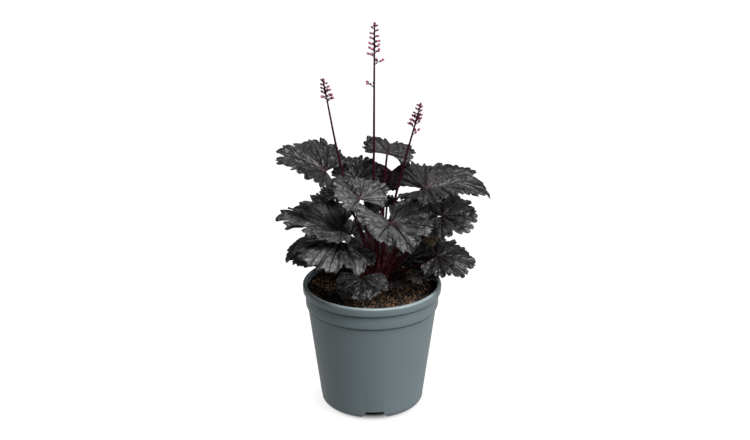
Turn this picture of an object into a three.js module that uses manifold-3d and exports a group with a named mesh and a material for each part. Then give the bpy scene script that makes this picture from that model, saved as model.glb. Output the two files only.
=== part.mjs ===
// A potted heuchera (coral bells) with near-black, lobed and ruffled leaves, burgundy leaf
// stalks and three thin flower stems, growing in a round grey plastic nursery pot.
// Millimetres, +Z up. The origin is the centre of the flat disc that the pot stands on.
// The front of the plant faces -Y.

import * as THREE from "three";
import { mergeVertices } from "three/addons/utils/BufferGeometryUtils.js";
import Module from "manifold-3d";

const wasm = await Module();
wasm.setup();

// ---------------------------------------------------------------- driving dimensions

const GAP = 0.3; // clearance kept between pieces that touch

const pot = {
  height: 130,
  rimRadius: 70,
  rimInnerRadius: 66,
  lipHeight: 8, // turned-over lip at the mouth
  bandHeight: 23.4, // from the mouth down to the shoulder below the stacking band
  bodyTopRadius: 65,
  footRadius: 52.5,
  footCorner: 7.5,
  wall: 1.3,
  sides: 48,
};

const channel = {
  count: 4, // drainage channels under the floor
  turn: THREE.MathUtils.degToRad(3), // of the first channel from -Y
  start: 24, // distance of the channel's blind end from the pot's axis
  bottomWidth: 29,
  topWidth: 17.5,
  height: 9,
  holeRadius: 4,
  holeDistance: 38, // of the drain hole from the pot's axis
  holeSides: 8,
};

const soil = {
  edgeHeight: 123, // surface next to the pot wall
  moundHeight: 2.5,
  roughness: 0.55,
};

const crown = {
  x: 6,
  y: 6,
  bottom: 114,
  widest: 126, // height of the dome's widest circle
  radius: 12.5,
  rise: 11, // height of the dome above its widest circle
  sides: 14,
  // how far from the top of the dome the upper, middle and lower leaf stalks stand
  ring: [25, 41, 57].map(THREE.MathUtils.degToRad),
};

const blade = {
  lobes: 7,
  notchDepth: 0.16,
  toothDepth: 0.035,
  pleat: 0.03,
  ruffle: 0.06,
  lobeVariety: 0.06,
  lobeLift: 0.05,
  thickness: 0.9,
};

const stalk = {
  rootRadius: 1.5,
  tipRadius: 1.1,
  sides: 5,
  steps: 7,
  steepness: [0.5, 0.4, 0.15], // how upright the upper, middle and lower stalks start
  rootDepth: 1.5, // how far the line of a stalk starts inside the crown
  rootReach: 0.35, // share of the length over which the stalk keeps its first direction
  tipReach: 0.25, // share of the length over which it turns to meet the blade
  bladeGap: 0.4, // between the end of the stalk and the underside of the blade
};

// ---------------------------------------------------------------- the leaves
// base: where the stalk meets the blade. heading: direction of the midrib from above, 0 = +X and
// 90 = +Y. pitch: rise of the midrib. roll: lift of the blade's left half. size: length of the
// middle lobe. span: angle from the midrib to the last edge of the blade, past the last lobe.
// taper: how much shorter the last lobes are than the middle one. droop and tip: how far the
// margin bends down all round, and the leaf's tip besides, in radians. fold: rise of the two
// halves from the midrib, as a share of the length. bow: how far the stalk is bent aside, in
// millimetres. tier: 0 for the top leaves, whose stalks rise from the middle of the crown, and
// 2 for the lowest.

const commonLeaf = { roll: 0, taper: 0.28, droop: 0.4, tip: 0.1, fold: 0, bow: [0, 0, 0] };

const leafTable = [
  {
    base: [-46, 6, 245], heading: 164, pitch: 26, roll: -6, size: 53, span: 120, tier: 0,
    taper: 0.42, tip: 0.2, fold: 0.34, bow: [6, 10, 0],
  },
  {
    base: [-12.4, -24.5, 227], heading: 124, pitch: 28, roll: 4, size: 36, span: 145, tier: 0,
    fold: 0.36, bow: [-8, 6, 0],
  },
  {
    base: [-16, 23, 230], heading: 92, pitch: 40, size: 32, span: 122, tier: 0,
    droop: 0.5, fold: 0.3, bow: [-8, 4, 0],
  },
  {
    base: [15, 15, 260], heading: 80, pitch: 18, roll: 13, size: 33, span: 124, tier: 0,
    droop: 0.7, tip: 0, fold: 0.36,
  },
  {
    base: [20, 55, 229], heading: 92, pitch: -48, size: 34, span: 144, tier: 0,
    droop: 0.3, bow: [-6, 8, 0],
  },
  { base: [15, 44, 195], heading: 95, pitch: 30, size: 20, span: 130, tier: 1 },
  {
    base: [53, -2, 229], heading: 2, pitch: 14, roll: -1, size: 69, span: 146, tier: 0,
    taper: 0.52, droop: 0.55, tip: 0.6, fold: 0.32, bow: [9, -5, 0],
  },
  {
    base: [19, -35, 206], heading: -63, pitch: -8, size: 46, span: 160, tier: 0,
    taper: 0.34, droop: 0.2, tip: 0.45, fold: 0.4,
  },
  {
    base: [70, 0, 200], heading: -2, pitch: 6, roll: 20, size: 38, span: 165, tier: 1,
    droop: 0.45, fold: 0.22, bow: [3, -6, 0],
  },
  {
    base: [65, -12, 162], heading: -9, pitch: 1, roll: 16, size: 38, span: 128, tier: 2,
    droop: 0.5, fold: 0.08,
  },
  {
    base: [-31, -8, 187], heading: 178, pitch: 18, roll: -2, size: 66, span: 104, tier: 1,
    droop: 0.5, tip: 0, fold: 0.34, bow: [1, 3, 0],
  },
  {
    base: [-30, -29, 184], heading: 224, pitch: 8, size: 54, span: 120, tier: 1,
    droop: 0.5, tip: 0.2, fold: -0.12,
  },
  { base: [-10, -32, 148], heading: -96, pitch: -18, size: 32, span: 120, tier: 2 },
  { base: [46, 8, 170], heading: 72, pitch: 24, size: 25, span: 102, tier: 2, droop: 0.2 },
  {
    base: [-46, 20, 168], heading: 196, pitch: -8, roll: -8, size: 48, span: 96, tier: 1,
    droop: 0.8,
  },
  { base: [46, -18, 146], heading: -25, pitch: 8, size: 22, span: 130, tier: 2, droop: 0.3 },
  { base: [22, -24, 138], heading: -60, pitch: 4, size: 13, span: 130, tier: 2, droop: 0.3 },
  { base: [36, 56, 170], heading: 55, pitch: 0, size: 44, span: 100, tier: 1, droop: 0.5 },
  { base: [-23, 52, 160], heading: 122, pitch: 20, size: 45, span: 84, tier: 1, droop: 0.5 },
  { base: [1, 31, 151], heading: 96, pitch: 38, size: 34, span: 100, tier: 2, bow: [9, 0, -4] },
  { base: [-42, 40, 150], heading: 146, pitch: -4, size: 38, span: 112, tier: 2 },
  { base: [38, 27, 143], heading: 48, pitch: 35, size: 44, span: 128, tier: 2 },
  { base: [-27, 36, 211], heading: 150, pitch: 16, size: 28, span: 110, tier: 1, bow: [9, 19, 0] },
  { base: [45, 25, 196], heading: 50, pitch: 40, size: 31, span: 110, tier: 1, bow: [-3, 8, 0] },
  { base: [1, 38, 141], heading: 84, pitch: 22, size: 20, span: 100, tier: 2 },
];

// ---------------------------------------------------------------- the flower stems
// points: the line of the stem from the crown to its tip. headLength: the part below the tip that
// is crowded with short side branches. headBranches: how many it carries. lowBranches: distance
// from the tip of each longer branch below the head. turn: direction of the lowest branch from
// above, 0 = +X.

const flowerStems = [
  {
    name: "flower_stem_left",
    points: [[5.2, 4.2, 134], [-12, 7, 180], [-31, 8, 251], [-47, 5, 338]],
    headLength: 22,
    headBranches: 10,
    lowBranches: [],
    turn: 0,
  },
  {
    name: "flower_stem_centre",
    points: [[6, 7.6, 134], [2, 7, 190], [2, 3, 290], [2.5, 0, 394]],
    headLength: 32,
    headBranches: 12,
    lowBranches: [63, 40],
    turn: Math.PI,
  },
  {
    name: "flower_stem_right",
    points: [[7.6, 5.2, 134], [16, 3, 185], [29, 1, 245], [47, 0, 315]],
    headLength: 24,
    headBranches: 11,
    lowBranches: [33],
    turn: 0,
  },
];

const flower = {
  stemRadius: 1.3,
  stemTipRadius: 0.6,
  stemSteps: 10,
  stemSides: 5,
  budLength: 3,
  budRadius: 1.25,
  branchRadius: 0.4,
  lowBranchLength: 8,
  branchLength: [5.2, 1.5], // lowest and highest side branch of the head
  tipSize: 0.75, // size of the highest buds beside the lowest ones
  scatter: 1.5, // how far a branch may turn round the stem from left and right
  forkAngle: 1.1,
  forkedShare: 0.5, // share of the head, from below, whose branches carry two buds
};

// ---------------------------------------------------------------- materials

const plain = (color, roughness, metalness = 0) =>
  new THREE.MeshStandardMaterial({ color, roughness, metalness });

const materials = {
  pot: plain(0x6c787e, 0.5),
  soil: plain(0x2c1d12, 1),
  crown: plain(0x3a1a1c, 0.8),
  stalk: plain(0x4a1422, 0.5),
  blade: plain(0x2f2d30, 0.35, 0.1),
  flower: plain(0x9a4459, 0.6),
};

// ---------------------------------------------------------------- helpers

// A small repeatable source of numbers from 0 to 1.
function makeRandom(seed) {
  let state = (seed * 7919 + 104729) % 233280;
  return () => {
    state = (state * 9301 + 49297) % 233280;
    return state / 233280;
  };
}

function toSolid(geometry) {
  const bare = new THREE.BufferGeometry();
  bare.setAttribute("position", geometry.getAttribute("position").clone());
  if (geometry.index) bare.setIndex(geometry.index.clone());
  const merged = mergeVertices(bare, 1e-4);
  return new wasm.Manifold(
    new wasm.Mesh({
      numProp: 3,
      vertProperties: new Float32Array(merged.attributes.position.array),
      triVerts: new Uint32Array(merged.index.array),
    }),
  );
}

function toGeometry(solid) {
  const mesh = solid.getMesh();
  return new THREE.BufferGeometry()
    .setAttribute("position", new THREE.BufferAttribute(new Float32Array(mesh.vertProperties), 3))
    .setIndex(new THREE.BufferAttribute(new Uint32Array(mesh.triVerts), 1));
}

function largestBody(solid) {
  return solid.decompose().reduce((a, b) => (b.volume() > a.volume() ? b : a));
}

function lathe(profile, sides) {
  const points = profile.map(([r, z]) => new THREE.Vector2(r, z));
  return new THREE.LatheGeometry(points, sides).rotateX(Math.PI / 2);
}

function fromTriangles(vertices, triangles) {
  return new THREE.BufferGeometry()
    .setAttribute("position", new THREE.Float32BufferAttribute(vertices.flatMap((v) => v.toArray()), 3))
    .setIndex(triangles.flat());
}

// A closed tube along a curve whose radius changes from one end to the other.
function sweep(curve, steps, sides, radiusAt) {
  const frames = curve.computeFrenetFrames(steps);
  const vertices = [];
  const triangles = [];
  for (let i = 0; i <= steps; i++) {
    const share = i / steps;
    const centre = curve.getPointAt(share);
    for (let j = 0; j < sides; j++) {
      const angle = (2 * Math.PI * j) / sides;
      const out = frames.normals[i].clone().multiplyScalar(Math.cos(angle));
      out.addScaledVector(frames.binormals[i], Math.sin(angle));
      vertices.push(centre.clone().addScaledVector(out, radiusAt(share)));
    }
  }
  for (let i = 0; i < steps; i++) {
    for (let j = 0; j < sides; j++) {
      const a = i * sides + j;
      const b = i * sides + ((j + 1) % sides);
      triangles.push([a, b, b + sides], [a, b + sides, a + sides]);
    }
  }
  const last = steps * sides;
  for (let j = 1; j < sides - 1; j++) {
    triangles.push([0, j + 1, j], [last, last + j, last + j + 1]);
  }
  return fromTriangles(vertices, triangles);
}

// ---------------------------------------------------------------- pot

// Radius and height of the points of the pot's section, from the middle of the floor to the mouth.
const potInner = [
  [0, pot.wall],
  [pot.footRadius - pot.footCorner - 1, pot.wall],
  [pot.footRadius - 2.9, 3.9], // inside of the rounded foot
  [pot.footRadius - pot.wall, pot.footCorner + 1],
  [pot.bodyTopRadius - pot.wall, pot.height - pot.bandHeight],
  [pot.rimInnerRadius - 0.6, pot.height - pot.bandHeight + 1.6], // inside of the shoulder
  [pot.rimInnerRadius, pot.height - pot.lipHeight],
  [pot.rimInnerRadius, pot.height - 1],
];

const cornerArc = [0, 1, 2, 3].map((i) => {
  const angle = (Math.PI / 6) * i;
  const centre = pot.footRadius - pot.footCorner;
  return [centre + pot.footCorner * Math.sin(angle), pot.footCorner * (1 - Math.cos(angle))];
});

const potOuter = [
  [0, 0],
  ...cornerArc,
  [pot.bodyTopRadius, pot.height - pot.bandHeight],
  [pot.bodyTopRadius + 1.4, pot.height - pot.bandHeight + 1], // shoulder
  [pot.rimRadius - 2.6, pot.height - pot.lipHeight - 1], // top of the band
  [pot.rimRadius - 0.6, pot.height - pot.lipHeight + 0.4], // lower edge of the lip
  [pot.rimRadius, pot.height - 2.2], // rounded top edge of the lip
  [pot.rimRadius - 0.8, pot.height - 0.5],
  [pot.rimRadius - 2, pot.height],
  [pot.rimInnerRadius + 0.8, pot.height],
];

const channelAngle = (index) => channel.turn + (2 * Math.PI * index) / channel.count;

// One bar of trapezium section that runs outwards under the floor, widened and raised by extra.
function channelBar(index, extra) {
  const half = channel.bottomWidth / 2 + extra;
  const topHalf = channel.topWidth / 2 + extra;
  const section = new THREE.Shape([
    new THREE.Vector2(-half, -1),
    new THREE.Vector2(half, -1),
    new THREE.Vector2(topHalf, channel.height + extra),
    new THREE.Vector2(-topHalf, channel.height + extra),
  ]);
  const bar = new THREE.ExtrudeGeometry(section, { depth: pot.rimRadius, bevelEnabled: false });
  bar.translate(0, 0, channel.start - extra);
  bar.rotateX(Math.PI / 2); // section's height becomes Z, and the bar runs along -Y
  bar.rotateZ(channelAngle(index));
  return toSolid(bar);
}

function drainHole(index) {
  const length = 4 * channel.height;
  const hole = new THREE.CylinderGeometry(channel.holeRadius, channel.holeRadius, length, channel.holeSides);
  hole.rotateX(Math.PI / 2);
  hole.translate(0, -channel.holeDistance, channel.height);
  hole.rotateZ(channelAngle(index));
  return toSolid(hole);
}

const channelIndices = [...Array(channel.count).keys()];

function channelBars(extra) {
  return channelIndices.map((i) => channelBar(i, extra)).reduce((a, b) => a.add(b));
}

function makePot() {
  const outside = toSolid(lathe([...potOuter, [0, pot.height]], pot.sides));
  const mouth = [pot.rimInnerRadius + 0.8, pot.height + 1];
  const cavity = toSolid(lathe([...potInner, mouth, [0, pot.height + 1]], pot.sides));
  const inside = cavity.subtract(channelBars(pot.wall));
  let solid = outside.subtract(inside).subtract(channelBars(0));
  for (const i of channelIndices) solid = solid.subtract(drainHole(i));
  return solid;
}

// ---------------------------------------------------------------- soil

function soilHeight(x, y) {
  const r = Math.hypot(x, y);
  const bumps =
    Math.sin(0.31 * x + 0.7) * Math.cos(0.27 * y - 0.4) + 0.6 * Math.sin(0.53 * x - 0.41 * y + 1.3);
  const mound = soil.moundHeight * Math.cos((Math.PI / 2) * Math.min(1, r / pot.rimInnerRadius));
  return soil.edgeHeight + mound + soil.roughness * bumps;
}

function makeSoil() {
  const outer = pot.rimInnerRadius - GAP;
  const corner = pot.footRadius - pot.footCorner;
  const profile = [
    [0, pot.wall + GAP],
    [corner - 1, pot.wall + GAP],
    [pot.footRadius - 3.2, 4.2],
    [pot.footRadius - pot.wall - GAP - 0.4, pot.footCorner + 2],
    [pot.bodyTopRadius - pot.wall - GAP - 0.3, pot.height - pot.bandHeight - 1],
    ...[1, 0.78, 0.52, 0.26, 0].map((share) => [outer * share, soil.edgeHeight]),
  ];
  const block = lathe(profile, pot.sides);
  const at = block.getAttribute("position");
  for (let i = 0; i < at.count; i++) {
    if (at.getZ(i) > soil.edgeHeight - 1) at.setZ(i, soilHeight(at.getX(i), at.getY(i)));
  }
  return toSolid(block).subtract(channelBars(pot.wall + GAP));
}

// ---------------------------------------------------------------- crown

// A point on the crown's dome and the direction out of the dome there.
function crownPoint(angle, polar) {
  const normal = new THREE.Vector3(
    (Math.sin(polar) * Math.cos(angle)) / crown.radius,
    (Math.sin(polar) * Math.sin(angle)) / crown.radius,
    Math.cos(polar) / crown.rise,
  ).normalize();
  const point = new THREE.Vector3(
    crown.x + crown.radius * Math.sin(polar) * Math.cos(angle),
    crown.y + crown.radius * Math.sin(polar) * Math.sin(angle),
    crown.widest + crown.rise * Math.cos(polar),
  );
  return { point, normal };
}

function crownShape(extra) {
  const steps = 5;
  const dome = [...Array(steps + 1).keys()].map((i) => {
    const angle = (Math.PI / 2) * (i / steps);
    const r = i === steps ? 0 : (crown.radius + extra) * Math.cos(angle);
    return [r, crown.widest + (crown.rise + extra) * Math.sin(angle)];
  });
  const foot = crown.bottom - extra;
  const shape = lathe([[0, foot], [crown.radius * 0.75 + extra, foot], ...dome], crown.sides);
  shape.translate(crown.x, crown.y, 0);
  return toSolid(shape);
}

// Cuts a solid along a plane and keeps the side that the normal points to.
function keepBeyond(solid, point, normal) {
  return solid.trimByPlane(normal.toArray(), point.dot(normal));
}

// ---------------------------------------------------------------- leaves

// The numbers that make one leaf unlike the next, drawn once for each leaf.
function leafNature(row, index) {
  const leaf = { ...commonLeaf, ...row };
  const random = makeRandom(index + 1);
  const spread = () => 2 * random() - 1;
  const lobeLength = Array.from({ length: blade.lobes }, () => 1 + blade.lobeVariety * spread());
  const lobeLift = Array.from({ length: blade.lobes }, () => spread());
  const phase = [2 * Math.PI * random(), 2 * Math.PI * random()];
  const [heading, pitch, roll] = [leaf.heading, leaf.pitch, leaf.roll].map(THREE.MathUtils.degToRad);
  const turn = new THREE.Matrix4()
    .makeTranslation(...leaf.base)
    .multiply(new THREE.Matrix4().makeRotationZ(heading))
    .multiply(new THREE.Matrix4().makeRotationY(-pitch))
    .multiply(new THREE.Matrix4().makeRotationX(roll));
  return { ...leaf, lobeLength, lobeLift, phase, turn };
}

// A value given at each lobe's vein, blended smoothly across the notches between lobes.
function acrossLobes(values, u) {
  const at = Math.min(Math.max(u - 0.5, 0), blade.lobes - 1);
  const low = Math.min(Math.floor(at), blade.lobes - 2);
  const share = 0.5 - 0.5 * Math.cos(Math.PI * (at - low));
  return values[low] * (1 - share) + values[low + 1] * share;
}

// Angle from the midrib. u runs from 0 to 7 round the leaf, one for each lobe.
function veinAngle(nature, u) {
  return THREE.MathUtils.degToRad(nature.span) * ((2 * u) / blade.lobes - 1);
}

// Length of the blade from its base to its margin.
function marginRadius(nature, u) {
  const fromMidrib = Math.abs((2 * u) / blade.lobes - 1);
  const fromVein = Math.abs(2 * (u - Math.floor(Math.min(u, blade.lobes - 1e-6))) - 1);
  const betweenTeeth = 1 - Math.abs(Math.sin(3 * Math.PI * u));
  const envelope = 1 - nature.taper * fromMidrib ** 1.6;
  const lobe = 1 - blade.notchDepth * (0.3 * fromVein ** 3 + 0.7 * fromVein ** 9);
  const teeth = 1 - blade.toothDepth * betweenTeeth ** 1.5;
  return nature.size * envelope * lobe * teeth * acrossLobes(nature.lobeLength, u);
}

// A point of the blade's upper face in the leaf's own frame: +X along the midrib, +Z out of the
// face. rho runs from 0 at the base to 1 at the margin.
function bladePoint(nature, u, rho) {
  const theta = veinAngle(nature, u);
  const along = rho * marginRadius(nature, u);
  const bend = nature.droop + nature.tip * Math.cos(theta);
  const reach = along * (1 - (bend ** 2 * rho ** 4) / 10);
  const sag = -along * ((bend * rho ** 2) / 3 - (bend ** 3 * rho ** 6) / 42);
  const fold = nature.fold * along * Math.abs(Math.sin(theta));
  const pleat = blade.pleat * rho * (1.6 - rho) * Math.cos(2 * Math.PI * u);
  const slowWave = 0.6 * Math.sin(1.1 * Math.PI * u + nature.phase[0]);
  const quickWave = 0.4 * Math.sin(2.3 * Math.PI * u + nature.phase[1]);
  const ruffle = blade.ruffle * rho ** 3 * (slowWave + quickWave);
  const lift = blade.lobeLift * rho ** 2 * acrossLobes(nature.lobeLift, u);
  const z = sag + fold + nature.size * (pleat + ruffle + lift);
  return new THREE.Vector3(reach * Math.cos(theta), reach * Math.sin(theta), z);
}

// Rings of points from the base to the margin: the share of the length and, for each lobe, the
// places of its points. The outer ring follows the three teeth of the lobe.
const bladeRings = [
  { rho: 0.36, steps: [0, 1 / 2] },
  { rho: 0.7, steps: [0, 1 / 2] },
  { rho: 1, steps: [0, 1 / 6, 1 / 3, 0.42, 0.58, 2 / 3, 5 / 6] },
];

// Triangles between two rings whose points are sorted by u.
function zip(inner, outer, triangles) {
  let i = 0;
  let j = 0;
  while (i < inner.length - 1 || j < outer.length - 1) {
    const nextInner = i < inner.length - 1 ? inner[i + 1].u : Infinity;
    const nextOuter = j < outer.length - 1 ? outer[j + 1].u : Infinity;
    if (nextOuter <= nextInner) {
      triangles.push([inner[i].id, outer[j].id, outer[j + 1].id]);
      j++;
    } else {
      triangles.push([inner[i].id, outer[j].id, inner[i + 1].id]);
      i++;
    }
  }
}

// The rings of one blade as lists of u and of the point's number in the list of points.
function bladeRingPoints(nature, points) {
  return bladeRings.map(({ rho, steps }) => {
    const ring = [];
    for (let lobe = 0; lobe <= blade.lobes; lobe++) {
      for (const step of steps) {
        const u = lobe + step;
        if (u > blade.lobes) continue;
        ring.push({ u, id: points.length });
        points.push(bladePoint(nature, u, rho));
      }
    }
    return ring;
  });
}

// The blade as a thin plate: an upper face of triangles, the same face moved down by the
// thickness along its normals, and a narrow edge all round.
function bladeGeometry(nature) {
  const top = [bladePoint(nature, blade.lobes / 2, 0)];
  const rings = bladeRingPoints(nature, top);
  const face = [];
  for (let i = 0; i < rings[0].length - 1; i++) face.push([0, rings[0][i].id, rings[0][i + 1].id]);
  zip(rings[0], rings[1], face);
  zip(rings[1], rings[2], face);

  const upper = fromTriangles(top, face);
  upper.computeVertexNormals();
  const normals = upper.getAttribute("normal");
  const bottom = top.map((p, i) => {
    const normal = new THREE.Vector3().fromBufferAttribute(normals, i);
    return p.clone().addScaledVector(normal, -blade.thickness);
  });

  const count = top.length;
  const margin = rings[2].map((p) => p.id);
  const rim = [0, rings[0][0].id, rings[1][0].id, ...margin, rings[1].at(-1).id, rings[0].at(-1).id];
  const triangles = [...face, ...face.map(([a, b, c]) => [a + count, c + count, b + count])];
  rim.forEach((a, i) => {
    const b = rim[(i + 1) % rim.length];
    triangles.push([a, a + count, b + count], [a, b + count, b]);
  });
  return fromTriangles([...top, ...bottom], triangles).applyMatrix4(nature.turn);
}

// Direction from the crown to the base of a leaf's blade.
function compass(leaf) {
  return Math.atan2(leaf.base[1] - crown.y, leaf.base[0] - crown.x);
}

// Where a stalk leaves the crown. The stalks of one tier are spread evenly round it, in the order
// of their leaves.
function stalkRoot(nature) {
  const tier = leafTable.filter((leaf) => leaf.tier === nature.tier);
  const ring = tier.sort((a, b) => compass(a) - compass(b));
  const share = (2 * Math.PI) / ring.length;
  const shift = ring.reduce((sum, leaf, i) => sum + compass(leaf) - i * share, 0) / ring.length;
  const angle = shift + share * ring.findIndex((leaf) => compass(leaf) === compass(nature));
  return crownPoint(angle, crown.ring[nature.tier]);
}

// The line of a leaf stalk, from inside the crown to the underside of the blade's base.
function stalkCurve(nature, midrib, normal) {
  const { point, normal: outward } = stalkRoot(nature);
  const root = point.clone().addScaledVector(outward, -stalk.rootDepth);
  const base = new THREE.Vector3(...nature.base);
  const length = root.distanceTo(base);
  const bow = new THREE.Vector3(...nature.bow);
  const straight = base.clone().sub(root).normalize();
  const rise = straight.clone().lerp(new THREE.Vector3(0, 0, 1), stalk.steepness[nature.tier]).normalize();
  const arrive = midrib.clone().multiplyScalar(0.5).addScaledVector(normal, 0.6).add(straight).normalize();
  return new THREE.CubicBezierCurve3(
    root,
    root.clone().addScaledVector(rise, stalk.rootReach * length).add(bow),
    base.clone().addScaledVector(arrive, -stalk.tipReach * length).add(bow),
    base,
  );
}

function stalkSolid(nature) {
  const axes = [new THREE.Vector3(), new THREE.Vector3(), new THREE.Vector3()];
  nature.turn.extractBasis(...axes);
  const [midrib, , normal] = axes;
  const radiusAt = (share) => THREE.MathUtils.lerp(stalk.rootRadius, stalk.tipRadius, share);
  const tube = toSolid(sweep(stalkCurve(nature, midrib, normal), stalk.steps, stalk.sides, radiusAt));
  const { point, normal: outward } = stalkRoot(nature);
  const free = keepBeyond(tube, point.clone().addScaledVector(outward, GAP), outward);
  const under = new THREE.Vector3(...nature.base);
  under.addScaledVector(normal, -blade.thickness - stalk.bladeGap);
  return keepBeyond(free, under, normal.clone().negate());
}

// ---------------------------------------------------------------- flower stems

// A bud on its thin side branch, growing along a direction from a point of the stem.
function budSolid(from, direction, branch, size) {
  const b = flower.branchRadius;
  const l = flower.budLength * size;
  const r = flower.budRadius * size;
  const profile = [
    [0, 0],
    [b, 0],
    [b, branch],
    [r, branch + l * 0.5],
    [r * 0.5, branch + l],
    [0, branch + l],
  ];
  const turn = new THREE.Quaternion().setFromUnitVectors(new THREE.Vector3(0, 0, 1), direction);
  return toSolid(lathe(profile, 4).applyQuaternion(turn).translate(from.x, from.y, from.z));
}

function stemCurve(stem) {
  return new THREE.CatmullRomCurve3(stem.points.map((p) => new THREE.Vector3(...p)));
}

function stemTube(stem) {
  const radiusAt = (share) => THREE.MathUtils.lerp(flower.stemRadius, flower.stemTipRadius, share ** 3);
  return toSolid(sweep(stemCurve(stem), flower.stemSteps, flower.stemSides, radiusAt));
}

function slantedDirection(angle, rise) {
  return new THREE.Vector3(Math.cos(angle), Math.sin(angle), rise).normalize();
}

// The side branches of a stem from below: the distance from the tip, the length, the size of the
// buds and their number.
function branchRows(stem) {
  const low = stem.lowBranches.map((fromTip) => {
    return { fromTip, length: flower.lowBranchLength, size: 1, buds: 3 };
  });
  const head = Array.from({ length: stem.headBranches }, (_, i) => {
    const climb = i / stem.headBranches;
    const buds = climb < flower.forkedShare ? 2 : 1;
    const length = THREE.MathUtils.lerp(...flower.branchLength, climb);
    const size = THREE.MathUtils.lerp(1, flower.tipSize, climb);
    return { fromTip: stem.headLength * (1 - climb), length, size, buds };
  });
  return [...low, ...head];
}

// A stem with its side branches, alternately left and right. A branch forks into one, two or
// three buds.
function flowerStemSolid(stem, index) {
  const random = makeRandom(100 + index);
  const curve = stemCurve(stem);
  const up = new THREE.Vector3(0, 0, 1);
  const pieces = [stemTube(stem), budSolid(curve.getPointAt(0.998), up, 0.1, flower.tipSize)];
  branchRows(stem).forEach(({ fromTip, length, size, buds }, i) => {
    const from = curve.getPointAt(1 - fromTip / curve.getLength());
    const angle = stem.turn + Math.PI * i + flower.scatter * (random() - 0.5);
    const direction = slantedDirection(angle, 0.5 + 0.4 * random());
    pieces.push(budSolid(from, direction, length, size));
    for (let k = 1; k < buds; k++) {
      const fork = from.clone().addScaledVector(direction, (0.8 - 0.3 * k) * length);
      const side = (i + k) % 2 ? flower.forkAngle : -flower.forkAngle;
      pieces.push(budSolid(fork, slantedDirection(angle + side, 0.2 + 0.4 * k), 0.4 * length, size));
    }
  });
  return largestBody(wasm.Manifold.union(pieces));
}

// ---------------------------------------------------------------- assembly

const plant = new THREE.Group();

function addPiece(name, solid, material) {
  const mesh = new THREE.Mesh(toGeometry(solid), material);
  mesh.name = name;
  plant.add(mesh);
}

const natures = leafTable.map(leafNature);

addPiece("pot", makePot(), materials.pot);
addPiece("soil", makeSoil().subtract(crownShape(GAP)), materials.soil);
addPiece("crown", crownShape(0), materials.crown);

natures.forEach((nature, i) => {
  const number = String(i + 1).padStart(2, "0");
  addPiece(`leaf_${number}_stalk`, stalkSolid(nature), materials.stalk);
  addPiece(`leaf_${number}_blade`, toSolid(bladeGeometry(nature)), materials.blade);
});

const aroundCrown = crownShape(GAP);
flowerStems.forEach((stem, i) => {
  addPiece(stem.name, largestBody(flowerStemSolid(stem, i).subtract(aroundCrown)), materials.flower);
});

export default plant;
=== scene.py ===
# %% [markdown]
# A potted heuchera, dressed for a studio picture
#
# The plant is a dark-leaved heuchera, also called coral bells, in a grey plastic nursery pot.
# The construction is already there as plain solids: a pot, its soil, a crown, and for every
# leaf a stalk and a thin blade. This lesson puts finer pieces in their places. They keep the
# form and the place of the solids, and add what a gardener would see from close by: veins,
# small teeth, puckered leaf tissue, buds, young shoots, crumbs of soil and a moulded pot.

import math

import bpy
import numpy as np
from mathutils import Euler, Matrix, Vector, noise


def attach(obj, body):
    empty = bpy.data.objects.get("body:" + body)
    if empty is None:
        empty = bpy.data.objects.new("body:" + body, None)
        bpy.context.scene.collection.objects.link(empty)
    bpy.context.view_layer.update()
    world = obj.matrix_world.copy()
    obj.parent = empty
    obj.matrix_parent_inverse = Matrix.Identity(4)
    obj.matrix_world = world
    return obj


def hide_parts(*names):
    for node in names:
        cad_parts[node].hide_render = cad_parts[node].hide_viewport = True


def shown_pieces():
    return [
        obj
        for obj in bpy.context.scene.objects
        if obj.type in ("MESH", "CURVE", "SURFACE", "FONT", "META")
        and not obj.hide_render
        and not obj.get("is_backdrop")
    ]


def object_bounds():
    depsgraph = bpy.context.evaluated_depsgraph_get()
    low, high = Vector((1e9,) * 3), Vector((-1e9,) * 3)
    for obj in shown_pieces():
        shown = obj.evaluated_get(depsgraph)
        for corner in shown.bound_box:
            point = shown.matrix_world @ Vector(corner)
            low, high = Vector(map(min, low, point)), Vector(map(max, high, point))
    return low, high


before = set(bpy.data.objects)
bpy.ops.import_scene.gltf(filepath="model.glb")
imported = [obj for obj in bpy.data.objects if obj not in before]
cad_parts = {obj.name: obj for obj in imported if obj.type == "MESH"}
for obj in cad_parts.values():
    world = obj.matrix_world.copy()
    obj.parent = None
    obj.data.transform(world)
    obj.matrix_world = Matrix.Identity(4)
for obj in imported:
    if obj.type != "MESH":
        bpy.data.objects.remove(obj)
cad_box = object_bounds()
bpy.ops.object.select_all(action="DESELECT")
print("solids in the frame:", len(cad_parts))

MM = 0.001
UP = Vector((0, 0, 1))

# %% [markdown]
# Helpers
#
# Every operator in Blender works on what is selected and active. So each new piece starts from
# an empty selection, and a small helper hands back the object that a primitive has just made.
# A finished piece rides on the body of the plant and stands for one or more of the solids.
# Round things, such as the pot and the buds, grow from a ring that is extruded and widened again
# and again.


# %% Selection helpers
def only(obj):
    bpy.ops.object.select_all(action="DESELECT")
    obj.select_set(True)
    bpy.context.view_layer.objects.active = obj
    return obj


def new_piece(name):
    obj = bpy.context.active_object
    obj.name = name
    obj.data.name = name
    return obj


def begin(name, primitive, **settings):
    """Adds one primitive while nothing else is selected, and names it."""
    bpy.ops.object.select_all(action="DESELECT")
    primitive(**settings)
    return new_piece(name)


def settle(obj):
    """Puts the object's place into its mesh, so that the object itself stands at the origin."""
    only(obj)
    bpy.ops.object.transform_apply(location=True, rotation=True, scale=True)
    return obj


# %% Edit mode helpers
def edit(selected="SELECT"):
    """Opens the mesh in edit mode with all of it selected, or with nothing for DESELECT."""
    bpy.ops.object.mode_set(mode="EDIT")
    bpy.ops.mesh.select_all(action=selected)


def leave_edit():
    bpy.ops.object.mode_set(mode="OBJECT")


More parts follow.
